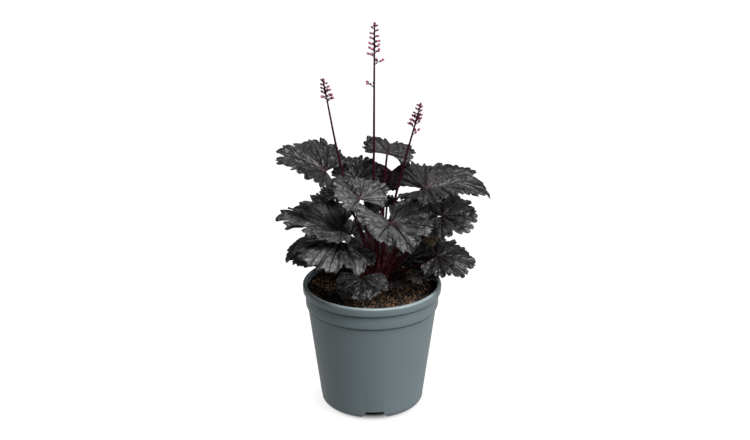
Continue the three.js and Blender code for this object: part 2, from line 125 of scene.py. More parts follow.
def face_outwards():
    """Turns every face outwards and leaves edit mode."""
    bpy.ops.mesh.select_all(action="SELECT")
    bpy.ops.mesh.normals_make_consistent(inside=False)
    leave_edit()


def grow_ring(section):
    """Extrudes the selected ring and widens it, from one radius and height to the next."""
    for (r0, z0), (r1, z1) in zip(section, section[1:]):
        bpy.ops.mesh.extrude_region_move(TRANSFORM_OT_translate={"value": (0, 0, (z1 - z0) * MM)})
        bpy.ops.transform.resize(value=(r1 / r0, r1 / r0, 1))


def turned(name, section, sides, fill):
    """A body of revolution from its section, radius and height in millimetres."""
    circle = dict(vertices=sides, radius=section[0][0] * MM, fill_type=fill, location=(0, 0, 0))
    obj = begin(name, bpy.ops.mesh.primitive_circle_add, **circle)
    edit()
    grow_ring(section)
    face_outwards()
    return obj


# %% Finishing helpers
def apply_modifiers(obj):
    only(obj)
    for modifier in list(obj.modifiers):
        bpy.ops.object.modifier_apply(modifier=modifier.name)
    return obj


def join(pieces, name):
    only(pieces[0])
    for piece in pieces:
        piece.select_set(True)
    bpy.ops.object.join()
    return new_piece(name)


def coat(obj, finish):
    """Smooths a piece and gives it one finish."""
    only(obj)
    bpy.ops.object.shade_smooth()
    obj.data.materials.clear()
    obj.data.materials.append(finish)
    return obj


def dress(obj, slot, *nodes):
    """Lets a piece ride on the plant and take its place. The slot is not used."""
    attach(obj, "root")
    if nodes:
        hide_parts(*nodes)
    return obj


def write_map(mesh, layer, first, second):
    """Writes two numbers of each vertex to the corners of a UV layer."""
    corners = np.empty(len(mesh.loops), dtype=np.int32)
    mesh.loops.foreach_get("vertex_index", corners)
    layer.data.foreach_set("uv", np.stack([first[corners], second[corners]], axis=-1).ravel())


def triangles_of(obj):
    obj.data.calc_loop_triangles()
    return len(obj.data.loop_triangles)


def make_random(seed):
    """A small repeatable source of numbers from 0 to 1."""
    state = (seed * 7919 + 104729) % 233280

    def draw():
        nonlocal state
        state = (state * 9301 + 49297) % 233280
        return state / 233280

    return draw


# %% [markdown]
# Small tools for shader graphs
#
# A material is a graph of nodes. A few short helpers keep the graphs readable: they add a node,
# fill in its sockets with numbers or links, and join steps of sums. An effect that several
# finishes share is a group with named inputs and outputs, built once.


# %% Node helpers
class Graph:
    """A node tree with short calls for adding nodes and links."""

    def __init__(self, tree):
        self.tree = tree

    def add(self, kind, **settings):
        node = self.tree.nodes.new("ShaderNode" + kind)
        for name, value in settings.items():
            setattr(node, name, value)
        return node

    def set(self, socket, value):
        if isinstance(value, bpy.types.NodeSocket):
            self.tree.links.new(value, socket)
        else:
            socket.default_value = value

    def fill(self, node, **values):
        """Sets sockets by their names, in which an underscore stands for a space."""
        for name, value in values.items():
            self.set(node.inputs[name.replace("_", " ")], value)
        return node

    def math(self, operation, first, second=0.5, third=0.5, clamp=False):
        node = self.add("Math", operation=operation, use_clamp=clamp)
        for socket, value in zip(node.inputs, (first, second, third)):
            self.set(socket, value)
        return node.outputs[0]

    def times(self, first, second):
        return self.math("MULTIPLY", first, second)

    def larger(self, first, second):
        return self.math("MAXIMUM", first, second)

    def split(self, vector):
        node = self.add("SeparateXYZ")
        self.set(node.inputs[0], vector)
        return node.outputs

    def ramp(self, value, low, high, out_low=0.0, out_high=1.0, kind="SMOOTHSTEP"):
        node = self.add("MapRange", interpolation_type=kind)
        self.fill(node, Value=value, From_Min=low, From_Max=high, To_Min=out_low, To_Max=out_high)
        return node.outputs["Result"]

    def mix(self, share, first, second):
        node = self.add("Mix", data_type="RGBA")
        return self.fill(node, Factor=share, A=first, B=second).outputs["Result"]

    def noise(self, vector, scale, detail=4.0, roughness=0.6):
        node = self.add("TexNoise")
        self.fill(node, Vector=vector, Scale=scale, Detail=detail, Roughness=roughness)
        return node.outputs["Fac"]

    def cells(self, vector, scale):
        """Distance from the walls between small irregular cells."""
        node = self.add("TexVoronoi", feature="DISTANCE_TO_EDGE")
        return self.fill(node, Vector=vector, Scale=scale).outputs["Distance"]

    def bump(self, height, distance):
        node = self.fill(self.add("Bump"), Height=height, Distance=distance, Strength=1.0)
        return node.outputs["Normal"]


# %% Groups, finishes and colours
def new_group(name, inputs, outputs):
    tree = bpy.data.node_groups.new(name, "ShaderNodeTree")
    for label, kind, value in inputs:
        socket = tree.interface.new_socket(label, in_out="INPUT", socket_type="NodeSocket" + kind)
        if value is not None:
            socket.default_value = value
    for label, kind in outputs:
        tree.interface.new_socket(label, in_out="OUTPUT", socket_type="NodeSocket" + kind)
    return Graph(tree), tree.nodes.new("NodeGroupInput"), tree.nodes.new("NodeGroupOutput")


def place_group(graph, tree, **values):
    node = graph.add("Group")
    node.node_tree = tree
    return graph.fill(node, **values)


def new_finish(name):
    """A new material with its graph, its Principled shader and its texture coordinates."""
    finish = bpy.data.materials.new(name)
    finish.use_nodes = True
    graph = Graph(finish.node_tree)
    return finish, graph, finish.node_tree.nodes["Principled BSDF"], graph.add("TexCoord").outputs


def to_linear(level):
    """One colour level from 0 to 255, turned into the linear value a shader needs."""
    share = level / 255
    return share / 12.92 if level <= 10 else ((share + 0.055) / 1.055) ** 2.4


def rgb(red, green, blue):
    return (to_linear(red), to_linear(green), to_linear(blue), 1.0)


# %% [markdown]
# The camera and the studio
#
# The picture is taken from a little above, as one looks at a plant on a table. A long lens far
# away keeps the pot's sides nearly parallel. The stage is a white floor that runs to the
# horizon. It glows by itself, so that it stays white, and a painted contact shadow dims the glow
# round and under the pot, where a real floor gets little light. A large soft light from above, a
# second from the right and a faint one from behind give the dark leaves broad, soft reflections
# instead of hard spots.

# %% Camera
view = dict(place=(0.00297, -1.321, 0.6948), down=0.361, sensor=36, focal_share=1421 / 750)

camera = begin("camera", bpy.ops.object.camera_add, location=view["place"])
camera.rotation_euler = (math.pi / 2 - view["down"], 0, 0)
camera.data.sensor_width = view["sensor"]
camera.data.lens = view["focal_share"] * view["sensor"]
camera.data.clip_end = 30
bpy.context.scene.camera = camera
print("camera lens:", round(camera.data.lens, 1), "mm")


# %% Floor
def for_camera(g, unseen):
    """1 for what the camera looks at, and a lower number for light that bounces about."""
    return g.ramp(g.add("LightPath").outputs["Is Camera Ray"], 0, 1, unseen, 1, kind="LINEAR")


floor_place = dict(size=12, location=(0, 0, -0.0002))
floor = begin("studio_floor", bpy.ops.mesh.primitive_plane_add, **floor_place)
floor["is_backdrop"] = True
floor_paint, g, shader, where = new_finish("white studio floor")
away = g.add("VectorMath", operation="DISTANCE")
g.set(away.inputs[0], where["Object"])
away.inputs[1].default_value = (0, -0.006, 0)
# Painted contact shadow: the floor's glow dims in a ring round the pot and goes dark under it.
painted_shadow_ring = g.ramp(away.outputs["Value"], 0.038, 0.066, 0.76, 1, kind="LINEAR")
under = g.ramp(away.outputs["Value"], 0.032, 0.048)
glow = g.times(g.times(painted_shadow_ring, under), for_camera(g, 0.55))
g.fill(shader, Base_Color=(0.07, 0.07, 0.07, 1), Roughness=0.9)
g.fill(shader, Emission_Color=glow, Emission_Strength=1.0)
floor.data.materials.append(floor_paint)

# %% Soft lights
LIT_POINT = Vector((0, 0, 0.15))
lamps = [
    ("softbox_above", (0.3, -0.6, 1.65), 0.6, 31),
    ("softbox_right", (1.25, -0.75, 0.95), 0.7, 23),
    ("softbox_back", (-0.5, 1.3, 1.3), 0.8, 4),
]
for name, place, size, watts in lamps:
    lamp = begin(name, bpy.ops.object.light_add, type="AREA", location=place)
    lamp.data.shape = "SQUARE"
    lamp.data.size = size
    lamp.data.energy = watts
    lamp.rotation_euler = (LIT_POINT - Vector(place)).to_track_quat("-Z", "Y").to_euler()
print("lights:", len(lamps))

# %% White surroundings
world = bpy.data.worlds.new("studio")
bpy.context.scene.world = world
world.use_nodes = True
g = Graph(world.node_tree)
sky = world.node_tree.nodes["Background"]
g.fill(sky, Color=(1, 1, 1, 1), Strength=for_camera(g, 0.12))
bpy.context.scene.view_settings.view_transform = "Standard"


# %% [markdown]
# Mottling, a shared effect
#
# No grown or moulded surface has one flat tone. The group below blends a coarse and a fine
# noise into one value around 0.5. Leaves, stalks, soil and plastic all use it, each at its own
# scale, to vary colour and roughness.

# %% Mottling group
mottle_graph, mottle_in, mottle_out = new_group(
    "mottling",
    [("Vector", "Vector", None), ("Scale", "Float", 100.0), ("Fine Share", "Float", 0.4)],
    [("Value", "Float")],
)
place, scale = mottle_in.outputs["Vector"], mottle_in.outputs["Scale"]
coarse = mottle_graph.noise(place, scale, 2.0)
fine = mottle_graph.noise(place, mottle_graph.times(scale, 7.0), 3.0)
blend = mottle_graph.add("Mix", data_type="FLOAT")
mottle_graph.fill(blend, Factor=mottle_in.outputs["Fine Share"], A=coarse, B=fine)
mottle_graph.set(mottle_out.inputs["Value"], blend.outputs["Result"])
mottling = mottle_graph.tree
MOTTLE_SPAN = (0.3, 0.7)


def mottle(g, where, scale, fine_share):
    """Places the mottling in a finish and hands back its value."""
    group = place_group(g, mottling, Vector=where["Object"], Scale=scale, Fine_Share=fine_share)
    return group.outputs["Value"]


print("shared effect:", mottling.name)


# %% [markdown]
# Veins, a shared effect
#
# A heuchera leaf has one strong vein down the middle of each of its seven lobes. It forks, and
# side veins leave it at a steady slant towards the teeth. Between them lie a fine net and a
# coarser one that quilts the tissue. The blade's UV map runs round the leaf in its first
# direction and from the base to the margin in its second, so the veins can be drawn with simple
# sums on these two numbers. Upper and lower face lie in different halves of the map, and a
# fraction of twice the first number brings them together. The same plan of veins later gives the
# blades their grooves.

# %% Plan of the veins
LOBES = 7
vein_plan = dict(slant=4.2, fork_start=0.12, fork_run=0.6, fork_bend=0.7, fork_aside=0.55)
net_scale = dict(fine=620.0, quilts=190.0)
vein_graph, vein_in, vein_out = new_group(
    "leaf veins",
    [("Map", "Vector", None), ("Place", "Vector", None)],
    [(name, "Float") for name in ("Main", "Side", "Net", "Rise", "Outwards")],
)


# %% Draw the veins
def draw_main_veins(g, aside, outwards):
    """The midrib of a lobe and its two forks, as one mask."""
    width = g.math("MULTIPLY_ADD", outwards, -0.045, 0.075)
    midrib = g.ramp(g.math("DIVIDE", g.times(aside, outwards), width), 0.35, 1.0, 1.0, 0.0)
    run = g.math("SUBTRACT", outwards, vein_plan["fork_start"])
    spread = g.math("DIVIDE", run, vein_plan["fork_run"], clamp=True)
    bent = g.math("POWER", spread, vein_plan["fork_bend"])
    off = g.math("MULTIPLY_ADD", bent, -vein_plan["fork_aside"], aside)
    fork = g.math("DIVIDE", g.times(g.math("ABSOLUTE", off), outwards), width)
    fork = g.times(g.ramp(fork, 0.2, 0.8, 1.0, 0.0), spread)
    return g.larger(midrib, g.times(fork, 0.8))


def draw_veins(g, group_in, group_out):
    uv = g.split(group_in.outputs["Map"])
    half = g.math("FRACT", g.times(uv["X"], 2.0))
    lobe = g.math("FRACT", g.times(half, LOBES))
    aside = g.math("ABSOLUTE", g.math("MULTIPLY_ADD", lobe, 2.0, -1.0))
    outwards = uv["Y"]
    main = draw_main_veins(g, aside, outwards)
    slant = g.math("MULTIPLY_ADD", aside, -1.0, g.times(outwards, vein_plan["slant"]))
    wave = g.math("ABSOLUTE", g.math("MULTIPLY_ADD", g.math("FRACT", slant), 2.0, -1.0))
    side = g.times(g.ramp(wave, 0.86, 1.0), 0.7)
    side = g.times(side, g.ramp(aside, 0.98, 0.8))
    side = g.times(side, g.ramp(outwards, 0.08, 0.2))
    place = group_in.outputs["Place"]
    fine_net = g.ramp(g.cells(place, net_scale["fine"]), 0.0, 0.12, 1.0, 0.0)
    quilts = g.cells(place, net_scale["quilts"])
    hollow = g.larger(main, g.times(side, 0.75))
    rise = g.math("SUBTRACT", g.times(g.math("SUBTRACT", 1.0, wave), 0.5), hollow)
    rise = g.math("SUBTRACT", rise, g.times(fine_net, 0.08))
    rise = g.math("ADD", rise, g.times(g.ramp(quilts, 0.0, 0.35), 0.65))
    net = g.larger(g.times(fine_net, 0.4), g.ramp(quilts, 0.02, 0.2, 1.0, 0.0))
    g.fill(group_out, Main=main, Side=side, Net=net, Rise=rise, Outwards=outwards)


draw_veins(vein_graph, vein_in, vein_out)
veins = vein_graph.tree
print("shared effect:", veins.name)


# %% [markdown]
# The upper face of a leaf
#
# The blade is nearly black with a metallic, pewter-like bloom between the veins, and its skin is
# satin: it mirrors a soft light broadly. A dark base colour, a moderate roughness and a thin
# coat give that. The bloom is a grey that fades at the veins and towards the toothed margin, and
# near the stalk the tissue and its veins turn wine red. Some leaves get a paler pewter copy of the
# finish, partly for a stronger bloom and partly as painted light. Young ones are browner and old
# ones turn bronze, which is the same finish with other colours.


# %% Upper face finish
def leaf_top_finish(name, dark, bloom, vein, bloom_share, roughness):
    finish, g, shader, where = new_finish(f"{name} leaf, upper face")
    v = place_group(g, veins, Map=where["UV"], Place=where["Object"]).outputs
    m = mottle(g, where, 45.0, 0.35)
    free = g.math("SUBTRACT", 1.0, g.larger(v["Main"], v["Side"]), clamp=True)
    share = g.times(g.times(g.ramp(m, 0.38, 0.62), free), bloom_share)
    margin = g.ramp(v["Outwards"], 0.93, 1.0, 1.0, 0.35)
    near_base = g.ramp(v["Outwards"], 0.04, 0.4, 1.0, 0.0)
    tissue = g.mix(g.times(share, margin), dark, bloom)
    tissue = g.mix(g.times(near_base, 0.45), tissue, rgb(48, 30, 34))
    line = g.times(g.larger(v["Main"], g.times(v["Side"], 0.6)), 0.85)
    tinted = g.mix(line, tissue, g.mix(g.times(near_base, 0.7), vein, rgb(62, 22, 32)))
    netted = g.mix(g.times(v["Net"], 0.4), tinted, vein)
    uneven = g.ramp(m, *MOTTLE_SPAN, roughness - 0.06, roughness + 0.1)
    g.fill(shader, Base_Color=netted, Roughness=uneven, Normal=g.bump(v["Rise"], 0.0005))
    g.fill(shader, Specular_IOR_Level=0.42, Coat_Weight=0.15, Coat_Roughness=0.34)
    return finish


black_top = leaf_top_finish("black", rgb(14, 12, 13), rgb(55, 53, 54), rgb(7, 5, 6), 0.68, 0.4)
pewter_and_painted_light_top = leaf_top_finish(
    "pewter", rgb(22, 21, 21), rgb(100, 101, 101), rgb(9, 7, 8), 0.78, 0.36
)
young_top = leaf_top_finish("young", rgb(34, 26, 26), rgb(66, 56, 54), rgb(24, 12, 15), 0.5, 0.36)
old_top = leaf_top_finish("old", rgb(78, 64, 42), rgb(118, 100, 66), rgb(52, 36, 26), 0.6, 0.5)
print("upper faces:", black_top.name, "|", pewter_and_painted_light_top.name, "|", young_top.name, "|", old_top.name)


# %% [markdown]
# The underside of a leaf
#
# Turn a black heuchera leaf over and it is wine red, matt and faintly hairy, with the veins
# standing out as paler ribs. The same vein group is used with its height turned over.

# %% Underside finish
underside, g, shader, where = new_finish("wine red underside")
v = place_group(g, veins, Map=where["UV"], Place=where["Object"]).outputs
m = mottle(g, where, 60.0, 0.3)
wine = g.mix(m, rgb(26, 5, 11), rgb(50, 13, 24))
ribs = g.times(g.larger(v["Main"], g.times(v["Side"], 0.5)), 0.6)
g.fill(shader, Base_Color=g.mix(ribs, wine, rgb(66, 24, 36)))
g.fill(shader, Roughness=g.ramp(m, *MOTTLE_SPAN, 0.45, 0.62), Specular_IOR_Level=0.3)
g.fill(shader, Sheen_Weight=0.06, Sheen_Roughness=0.5)
g.fill(shader, Normal=g.bump(g.times(v["Rise"], -1.0), 0.0006))


# %% [markdown]
# The leaves of this plant
#
# Each leaf stands where its solid stands, so its row below repeats the numbers of the frame:
# the place where the stalk meets the blade, the direction and rise of the midrib, the roll of
# the blade, its length, the angle it spans, and how its margin and tip droop.


# %% Leaf rows
usual_leaf = dict(roll=0, droop=0.4, tip=0.1, fold=0, taper=0.28, bow=(0, 0, 0))


def leaf_row(base, heading, pitch, size, span, tier, **own):
    main = dict(base=base, heading=heading, pitch=pitch, size=size, span=span, tier=tier)
    return {**main, **usual_leaf, **own}


leaf_rows = [
    leaf_row((-46, 6, 245), 164, 26, 53, 120, 0, roll=-6, taper=0.42, tip=0.2, fold=0.34,
             bow=(6, 10, 0)),
    leaf_row((-12.4, -24.5, 227), 124, 28, 36, 145, 0, roll=4, fold=0.36, bow=(-8, 6, 0)),
    leaf_row((-16, 23, 230), 92, 40, 32, 122, 0, droop=0.5, fold=0.3, bow=(-8, 4, 0)),
    leaf_row((15, 15, 260), 80, 18, 33, 124, 0, roll=13, droop=0.7, tip=0, fold=0.36),
    leaf_row((20, 55, 229), 92, -48, 34, 144, 0, droop=0.3, bow=(-6, 8, 0)),
    leaf_row((15, 44, 195), 95, 30, 20, 130, 1),
    leaf_row((53, -2, 229), 2, 14, 69, 146, 0, roll=-1, taper=0.52, droop=0.55, tip=0.6,
             fold=0.32, bow=(9, -5, 0)),
    leaf_row((19, -35, 206), -63, -8, 46, 160, 0, taper=0.34, droop=0.2, tip=0.45, fold=0.4),
    leaf_row((70, 0, 200), -2, 6, 38, 165, 1, roll=20, droop=0.45, fold=0.22, bow=(3, -6, 0)),
    leaf_row((65, -12, 162), -9, 1, 38, 128, 2, roll=16, droop=0.5, fold=0.08),
    leaf_row((-31, -8, 187), 178, 18, 66, 104, 1, roll=-2, droop=0.5, tip=0, fold=0.34,
             bow=(1, 3, 0)),
    leaf_row((-30, -29, 184), 224, 8, 54, 120, 1, droop=0.5, tip=0.2, fold=-0.12),
    leaf_row((-10, -32, 148), -96, -18, 32, 120, 2),
    leaf_row((46, 8, 170), 72, 24, 25, 102, 2, droop=0.2),
    leaf_row((-46, 20, 168), 196, -8, 48, 96, 1, roll=-8, droop=0.8),
    leaf_row((46, -18, 146), -25, 8, 22, 130, 2, droop=0.3),
    leaf_row((22, -24, 138), -60, 4, 13, 130, 2, droop=0.3),
    leaf_row((36, 56, 170), 55, 0, 44, 100, 1, droop=0.5),
    leaf_row((-23, 52, 160), 122, 20, 45, 84, 1, droop=0.5),
    leaf_row((1, 31, 151), 96, 38, 34, 100, 2, bow=(9, 0, -4)),
    leaf_row((-42, 40, 150), 146, -4, 38, 112, 2),
    leaf_row((38, 27, 143), 48, 35, 44, 128, 2),
    leaf_row((-27, 36, 211), 150, 16, 28, 110, 1, bow=(9, 19, 0)),
    leaf_row((45, 25, 196), 50, 40, 31, 110, 1, bow=(-3, 8, 0)),
    leaf_row((1, 38, 141), 84, 22, 20, 100, 2),
]
print("leaves:", len(leaf_rows))

# %% [markdown]
# The shape of one blade
#
# A blade is described by two numbers: how far round the leaf a point lies, from 0 to 7 lobes,
# and how far out from the base, from 0 to 1. One formula turns them into a place. It holds the
# seven lobes with their notches and teeth, the fold along the midrib, the pleats over the veins,
# the drooping margin and the slow waves that make every leaf different. The finer piece adds
# smaller teeth, grooves over the veins, puckers and blisters between them and a frill along the
# margin.

# %% Blade formula
blade = dict(notch=0.16, tooth=0.035, pleat=0.03, ruffle=0.06, variety=0.06, lift=0.05)
teeth = dict(width=4.6, depth=1.6)
relief = dict(pucker=0.014, groove=0.022, blister=0.017, frill=1.1)


def leaf_nature(row, number):
    draw = make_random(number)
    length = np.array([1 + blade["variety"] * (2 * draw() - 1) for _ in range(LOBES)])
    lift = np.array([2 * draw() - 1 for _ in range(LOBES)])
    phase = [2 * math.pi * draw(), 2 * math.pi * draw()]
    lobe_width = row["size"] * math.radians(2 * row["span"] / LOBES)
    count = 3 * max(1, round(lobe_width / teeth["width"] / 3))
    turn = (
        Matrix.Translation(row["base"])
        @ Matrix.Rotation(math.radians(row["heading"]), 4, "Z")
        @ Matrix.Rotation(math.radians(-row["pitch"]), 4, "Y")
        @ Matrix.Rotation(math.radians(row["roll"]), 4, "X")
    )
    return dict(row, number=number, length=length, lift=lift, phase=phase, teeth=count, turn=turn)


# %% Margin of the blade
def across_lobes(values, u):
    at = np.clip(u - 0.5, 0, LOBES - 1)
    low = np.minimum(np.floor(at), LOBES - 2).astype(int)
    share = 0.5 - 0.5 * np.cos(np.pi * (at - low))
    return values[low] * (1 - share) + values[low + 1] * share


def from_lobe_vein(u):
    """0 on the main vein of a lobe, 1 on the border between two lobes."""
    return np.abs(2 * (u - np.floor(np.minimum(u, LOBES - 1e-6))) - 1)


def margin_shape(leaf, u):
    """Length of the blade without its teeth, and how deep the teeth cut, all along the margin."""
    from_midrib = np.abs(2 * u / LOBES - 1)
    from_vein = from_lobe_vein(u)
    envelope = 1 - leaf["taper"] * from_midrib**1.6
    lobe = 1 - blade["notch"] * (0.3 * from_vein**3 + 0.7 * from_vein**9)
    smooth = leaf["size"] * envelope * lobe * across_lobes(leaf["length"], u)
    large = 1 - blade["tooth"] * (1 - np.abs(np.sin(3 * np.pi * u))) ** 1.5
    depth = teeth["depth"] / leaf["size"]
    small = 1 - depth * (1 - np.abs(np.sin(leaf["teeth"] * np.pi * u)) ** 0.7)
    return smooth, large * small


# %% Place of every point
def blade_points(leaf, u, rho):
    theta = math.radians(leaf["span"]) * (2 * u / LOBES - 1)
    smooth, toothed = margin_shape(leaf, u)
    along = rho * smooth * (1 - rho**5 * (1 - toothed))
    bend = leaf["droop"] + leaf["tip"] * np.cos(theta)
    reach = along * (1 - bend**2 * rho**4 / 10)
    sag = -along * (bend * rho**2 / 3 - bend**3 * rho**6 / 42)
    fold = leaf["fold"] * along * np.sqrt(np.sin(theta) ** 2 + 0.002)
    pleat = blade["pleat"] * rho * (1.6 - rho) * np.cos(2 * np.pi * u)
    slow = 0.6 * np.sin(1.1 * np.pi * u + leaf["phase"][0])
    quick = 0.4 * np.sin(2.3 * np.pi * u + leaf["phase"][1])
    ruffle = blade["ruffle"] * rho**3 * (slow + quick)
    lift = blade["lift"] * rho**2 * across_lobes(leaf["lift"], u)
    z = sag + fold + leaf["size"] * (pleat + ruffle + lift + fine_relief(leaf, u, rho))
    return np.stack([reach * np.cos(theta), reach * np.sin(theta), z], axis=-1)


def fine_relief(leaf, u, rho):
    """Grooves over the veins, puckers and blisters between them and a frill at the margin."""
    aside = from_lobe_vein(u)
    slant = vein_plan["slant"] * rho - aside
    wave = np.abs(2 * (slant - np.floor(slant)) - 1)
    pucker = relief["pucker"] * rho**0.7 * (1 - aside**6) * (1 - wave**2)
    spread = np.clip((rho - vein_plan["fork_start"]) / vein_plan["fork_run"], 0, 1)
    off = aside - vein_plan["fork_aside"] * spread ** vein_plan["fork_bend"]
    fork = np.exp(-((off * rho / 0.05) ** 2)) * spread
    midrib = np.exp(-((aside * rho / 0.055) ** 2)) * np.minimum(1, 4 * rho)
    first, second = leaf["phase"]
    blister = np.sin(9 * u + 8 * rho + first) * np.sin(4.3 * u - 12 * rho + second)
    waves = leaf["teeth"] / 2
    curl = np.sin(2 * np.pi * waves * u + first) + 0.8 * np.sin(0.9 * np.pi * waves * u + second)
    frill = relief["frill"] / leaf["size"] * rho**4 * curl
    grooves = relief["groove"] * (midrib + 0.8 * fork)
    return pucker - grooves + relief["blister"] * rho * blister + frill


natures = [leaf_nature(row, i + 1) for i, row in enumerate(leaf_rows)]
print("teeth on each lobe:", [leaf["teeth"] for leaf in natures])

# %% [markdown]
# Making the blades
#
# A flat grid is the natural start, because its two directions are the two numbers of the
# formula. Each of its points is moved to the formula's place, the row at the base is merged to
# one point, and a Solidify modifier gives the sheet its thickness and the lower face its own
# wine red finish.


# %% Build a blade
UNDER, SHEET = 1, 0.5
grid = dict(per_lobe=20, per_tooth=4, rows=24, few_rows=16, small=30, crowd=0.85)
map_width = dict(used=0.4996, half=0.5)


def make_blade(leaf, top_finish):
    per_lobe = max(grid["per_lobe"], grid["per_tooth"] * leaf["teeth"])
    rows = grid["rows"] if leaf["size"] > grid["small"] else grid["few_rows"]
    size = dict(x_subdivisions=per_lobe * LOBES, y_subdivisions=rows, size=1)
    name = f"heuchera_leaf_{leaf['number']:02d}"
    obj = begin(name, bpy.ops.mesh.primitive_grid_add, **size)
    mesh = obj.data
    flat = np.empty(len(mesh.vertices) * 3)
    mesh.vertices.foreach_get("co", flat)
    flat = flat.reshape(-1, 3) + 0.5
    u = np.clip(1 - flat[:, 0], 0, 1) * LOBES
    rho = np.clip(flat[:, 1], 0, 1) ** grid["crowd"]
    turn = np.array(leaf["turn"])
    place = (blade_points(leaf, u, rho) @ turn[:3, :3].T + turn[:3, 3]) * MM
    mesh.vertices.foreach_set("co", place.ravel())
    write_map(mesh, mesh.uv_layers.active, u / LOBES * map_width["used"], rho)
    only(obj)
    edit()
    bpy.ops.mesh.remove_doubles(threshold=1e-6)
    leave_edit()
    coat(obj, top_finish).data.materials.append(underside)
    shell = obj.modifiers.new("thickness", "SOLIDIFY")
    shell.thickness = SHEET * MM
    shell.offset = -1
    shell.material_offset = UNDER
    apply_modifiers(obj)
    part_the_map(mesh)
    return obj


def part_the_map(mesh):
    """Moves the underside to the right half of the map."""
    values = np.empty(len(mesh.loops) * 2)
    mesh.uv_layers.active.data.foreach_get("uv", values)
    values = values.reshape(-1, 2)
    for face in mesh.polygons:
        if face.material_index == UNDER:
            values[list(face.loop_indices), 0] += map_width["half"]
    mesh.uv_layers.active.data.foreach_set("uv", values.ravel())


# %% All blades
# The paler pewter finish stands partly for a stronger bloom and partly for painted light, as on
# leaf 9, which lies in shade.
top_finish_of = dict.fromkeys((2, 8, 9, 11, 12, 13), pewter_and_painted_light_top)
top_finish_of.update({14: old_top, 16: young_top, 17: young_top})
blades = []
for leaf in natures:
    piece = make_blade(leaf, top_finish_of.get(leaf["number"], black_top))
    blades.append(dress(piece, "leaf_blade", f"leaf_{leaf['number']:02d}_blade"))
print("blades:", len(blades), "triangles:", sum(triangles_of(b) for b in blades))


# %% [markdown]
# Stalk skin
#
# Stalks and flower stems are dark burgundy, unevenly coloured, with a satin skin that has small
# bumps.

# %% Stalk finish
stalk_skin, g, shader, where = new_finish("burgundy stalk")
m = mottle(g, where, 90.0, 0.5)
g.fill(shader, Base_Color=g.mix(m, rgb(20, 3, 9), rgb(58, 11, 26)), Normal=g.bump(m, 0.0002))
g.fill(shader, Roughness=g.ramp(m, *MOTTLE_SPAN, 0.36, 0.54), Specular_IOR_Level=0.08)

# %% [markdown]
# Stalks
#
# All stalks rise from the short woody crown. Each follows a Bezier curve whose four points come
# from the frame: it leaves the crown at a slant, bows a little aside to miss its neighbours and
# meets the base of its blade from below. A Bezier curve object with a round bevel draws such a
# stalk directly, and is then turned into a mesh.

# %% Stalk lines
crown = dict(x=6, y=6, widest=126, radius=12.5, rise=11, depth=12)
tier_ring = [math.radians(a) for a in (25, 41, 57)]
steepness = [0.5, 0.4, 0.15]
stalk = dict(sink=1.5, foot=1.5, tip=1.0, under_blade=0.35)


def compass(leaf):
    return math.atan2(leaf["base"][1] - crown["y"], leaf["base"][0] - crown["x"])


def crown_point(angle, polar):
    around = Vector((math.sin(polar) * math.cos(angle), math.sin(polar) * math.sin(angle), 0))
    point = Vector((crown["x"], crown["y"], crown["widest"] + crown["rise"] * math.cos(polar)))
    outward = around / crown["radius"] + Vector((0, 0, math.cos(polar) / crown["rise"]))
    return point + around * crown["radius"], outward.normalized()


def stalk_root(leaf):
    ring = sorted((l for l in natures if l["tier"] == leaf["tier"]), key=compass)
    share = 2 * math.pi / len(ring)
    shift = sum(compass(l) - i * share for i, l in enumerate(ring)) / len(ring)
    return crown_point(shift + share * ring.index(leaf), tier_ring[leaf["tier"]])


def stalk_line(leaf):
    point, outward = stalk_root(leaf)
    root = point - outward * stalk["sink"]
    base = Vector(leaf["base"])
    length = (base - root).length
    straight = (base - root).normalized()
    bow = Vector(leaf["bow"])
    rise = straight.lerp(UP, steepness[leaf["tier"]]).normalized()
    midrib = leaf["turn"].to_3x3() @ Vector((1, 0, 0))
    normal = leaf["turn"].to_3x3() @ UP
    arrive = (midrib * 0.5 + normal * 0.6 + straight).normalized()
    end = base - normal * stalk["under_blade"]
    return [root, root + rise * 0.35 * length + bow, base - arrive * 0.25 * length + bow, end]


# %% Tubes
def thicken(curve, sides):
    """Gives a curve a round section and turns it into a mesh."""
    curve.data.bevel_depth = MM
    curve.data.bevel_resolution = sides
    curve.data.use_fill_caps = True
    only(curve)
    bpy.ops.object.convert(target="MESH")
    return bpy.context.active_object


def draw_tube(name, points, radii, smooth_steps=24, sides=3):
    """A round tube along one Bezier stretch; points are its four control points."""
    obj = begin(name, bpy.ops.curve.primitive_bezier_curve_add)
    first, last = obj.data.splines[0].bezier_points
    for knot in (first, last):
        knot.handle_left_type = knot.handle_right_type = "FREE"
    first.co, first.handle_right = points[0] * MM, points[1] * MM
    first.handle_left = points[0] * MM * 2 - points[1] * MM
    last.handle_left, last.co = points[2] * MM, points[3] * MM
    last.handle_right = points[3] * MM * 2 - points[2] * MM
    first.radius, last.radius = radii
    obj.data.resolution_u = smooth_steps
    return thicken(obj, sides)


# %% All stalks
for leaf in natures:
    name = f"stalk_{leaf['number']:02d}"
    piece = draw_tube(name, stalk_line(leaf), (stalk["foot"], stalk["tip"]))
    dress(coat(settle(piece), stalk_skin), "leaf_stalk", f"leaf_{leaf['number']:02d}_stalk")
print("stalks:", len(natures))


# %% [markdown]
# The pot's plastic
#
# Nursery pots are blown or moulded from grey recycled plastic. The surface is even and matt with
# a soft sheen, and shows faint clouding where the flow met. Painted shade darkens the two creases
# under the lip and the band, and a painted highlight makes the top of the lip pale.

# %% Pot finish
def near_height(g, height, level, reach):
    """1 at one height above the floor, falling to 0 a short way above and below it."""
    away = g.math("ABSOLUTE", g.math("SUBTRACT", height, level))
    return g.ramp(away, 0.0, reach, 1.0, 0.0)


